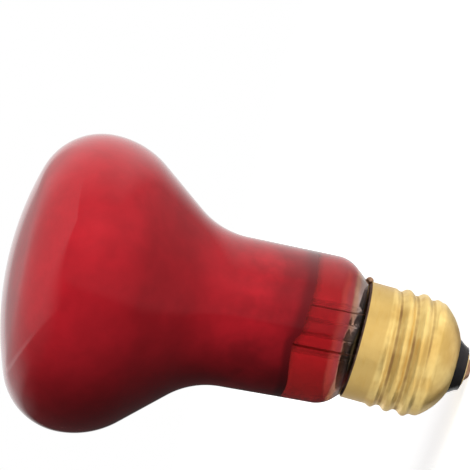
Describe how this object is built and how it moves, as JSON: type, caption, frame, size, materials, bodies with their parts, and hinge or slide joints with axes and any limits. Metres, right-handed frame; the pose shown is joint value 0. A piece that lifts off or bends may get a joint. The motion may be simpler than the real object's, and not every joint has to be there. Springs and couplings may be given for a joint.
{
  "type": "infrared reflector lamp bulb",
  "caption": "Red glass reflector lamp with a domed face, a straight neck and a brass screw cap with a rolled thread; warms what it is aimed at.",
  "frame": {"origin": "centre of the tip contact's outer end, where the cap's axis leaves the lamp", "axes": "+Z along the cap's axis from the tip contact towards the glass; +X towards the side solder at the shell's rim; the glass leans a little towards -X"},
  "size_m": [0.0634, 0.0634, 0.1003],
  "materials": {
    "red_glass": "gloss",
    "stem_glass": "gloss",
    "nickel_wire": "satin",
    "copper_wire": "satin",
    "tungsten": "matte",
    "cement": "matte",
    "brass_sheet": "satin",
    "black_glass": "gloss",
    "solder": "satin",
    "brown_solder": "satin"
  },
  "bodies": {
    "root": {"glass_envelope": "red_glass", "stem_flare": "stem_glass", "exhaust_tube": "stem_glass", "arbor_rod": "stem_glass", "lead_inner_side": "nickel_wire", "lead_inner_tip": "nickel_wire", "seal_wire_side": "copper_wire", "seal_wire_tip": "copper_wire", "lead_outer_side": "copper_wire", "lead_outer_tip": "copper_wire", "filament_coil": "tungsten", "support_wire_1": "nickel_wire", "support_wire_2": "nickel_wire", "support_wire_3": "nickel_wire", "support_wire_4": "nickel_wire", "basing_cement": "cement", "screw_shell": "brass_sheet", "cap_insulator": "black_glass", "tip_contact": "brass_sheet", "tip_solder": "solder", "side_solder": "brown_solder"}
  },
  "joints": []
}
